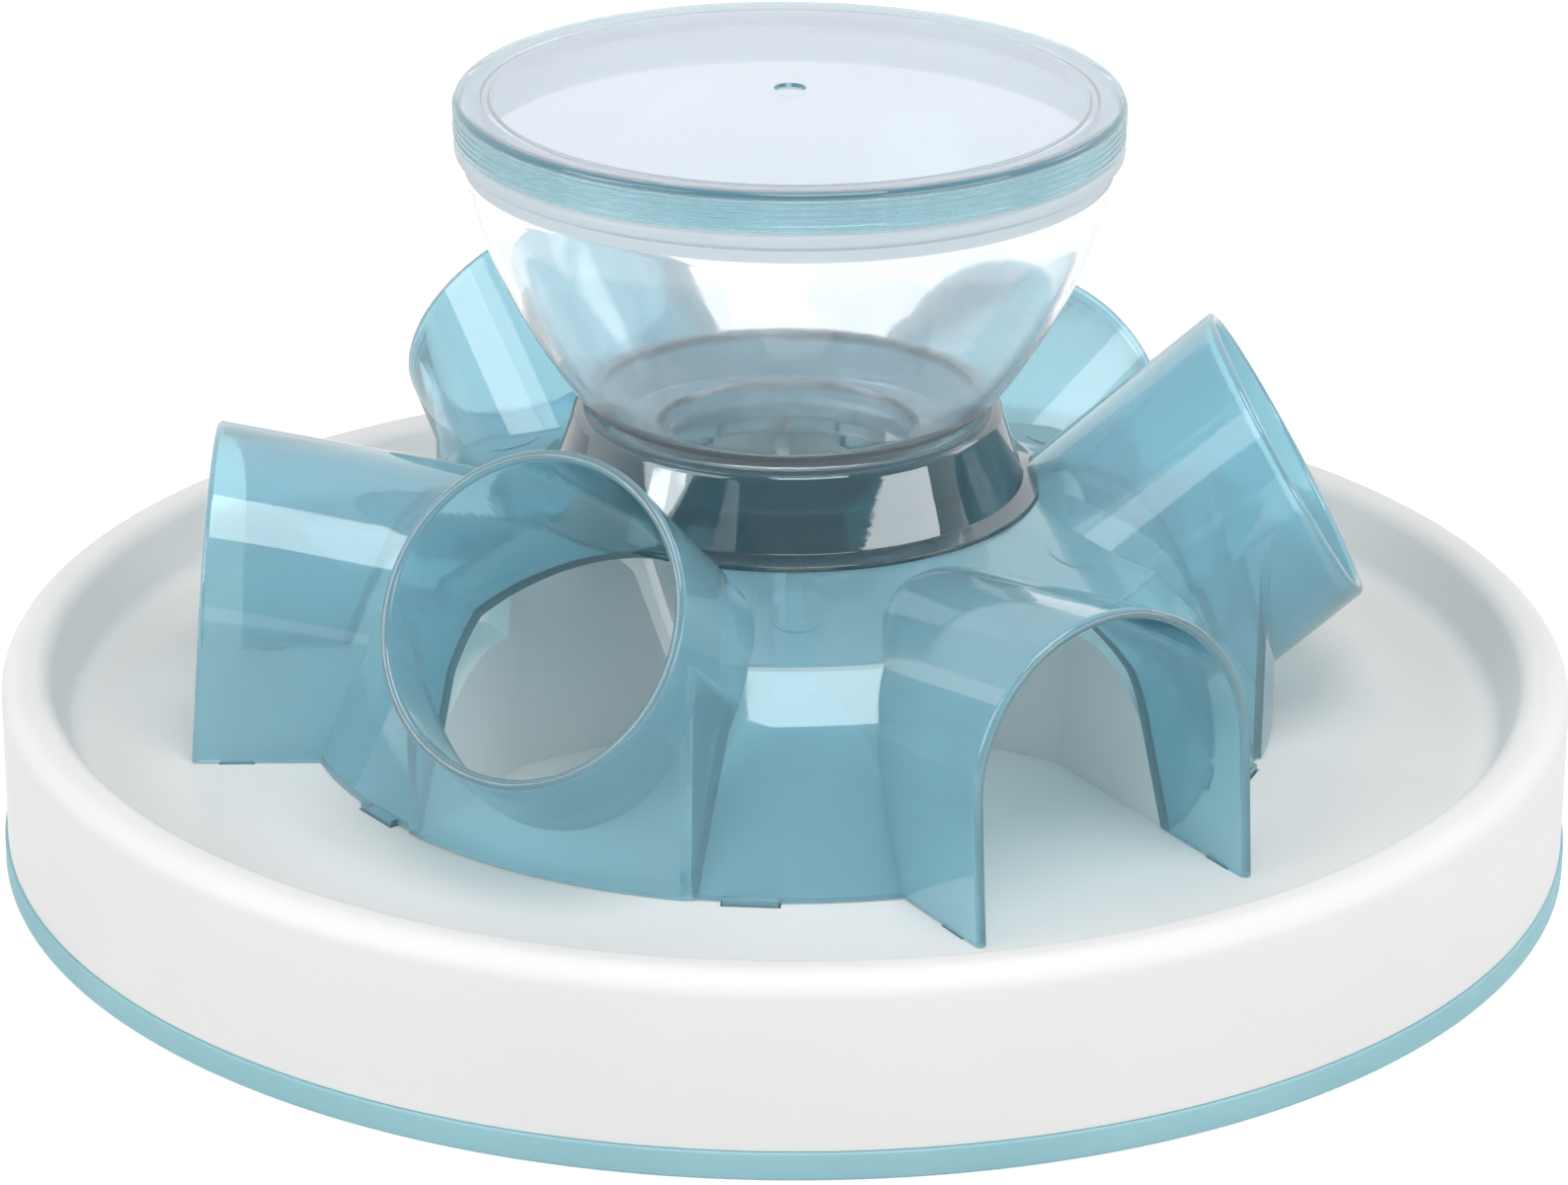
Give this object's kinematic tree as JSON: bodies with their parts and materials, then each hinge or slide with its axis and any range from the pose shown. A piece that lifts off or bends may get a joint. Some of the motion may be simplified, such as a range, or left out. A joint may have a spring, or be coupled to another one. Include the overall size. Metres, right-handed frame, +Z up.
{
  "type": "cat puzzle feeder",
  "caption": "Round puzzle feeder for cats: a white tray, a translucent teal dome with low arches and raised spouts, and a clear food bowl with a lid.",
  "frame": {"origin": "centre of the foot, on the surface that the feeder stands on", "axes": "+Z up through the bowl and lid, +X along the first raised spout"},
  "size_m": [0.3012, 0.3012, 0.1482],
  "materials": {
    "tray_white": "satin white",
    "ring_rubber": "matte teal",
    "housing_teal": "glossy translucent teal",
    "collar_teal": "glossy translucent teal",
    "bowl_clear": "clear",
    "lid_teal": "glossy translucent teal"
  },
  "bodies": {
    "base": {"base_tray": "tray_white", "nonslip_ring": "ring_rubber", "divider_fin_1": "tray_white", "divider_fin_2": "tray_white", "divider_fin_3": "tray_white", "divider_fin_4": "tray_white", "divider_fin_5": "tray_white", "divider_fin_6": "tray_white"},
    "housing": {"housing_crown": "housing_teal", "housing_panel_1": "housing_teal", "housing_panel_2": "housing_teal", "housing_panel_3": "housing_teal", "housing_panel_4": "housing_teal", "housing_panel_5": "housing_teal", "housing_panel_6": "housing_teal", "arch_tunnel_1": "housing_teal", "arch_tunnel_2": "housing_teal", "arch_tunnel_3": "housing_teal", "spout_tunnel_1": "housing_teal", "spout_tunnel_2": "housing_teal", "spout_tunnel_3": "housing_teal", "collar": "collar_teal"},
    "bowl": {"bowl": "bowl_clear"},
    "lid": {"lid": "lid_teal"}
  },
  "joints": [
    {"name": "housing_lift", "type": "slide", "parent": "base", "child": "housing", "axis": [0, 0, 1], "range_m": [0, 0.08]},
    {"name": "bowl_lift", "type": "slide", "parent": "housing", "child": "bowl", "axis": [0, 0, 1], "range_m": [0, 0.04]},
    {"name": "lid_lift", "type": "slide", "parent": "bowl", "child": "lid", "axis": [0, 0, 1], "range_m": [0, 0.03]}
  ]
}
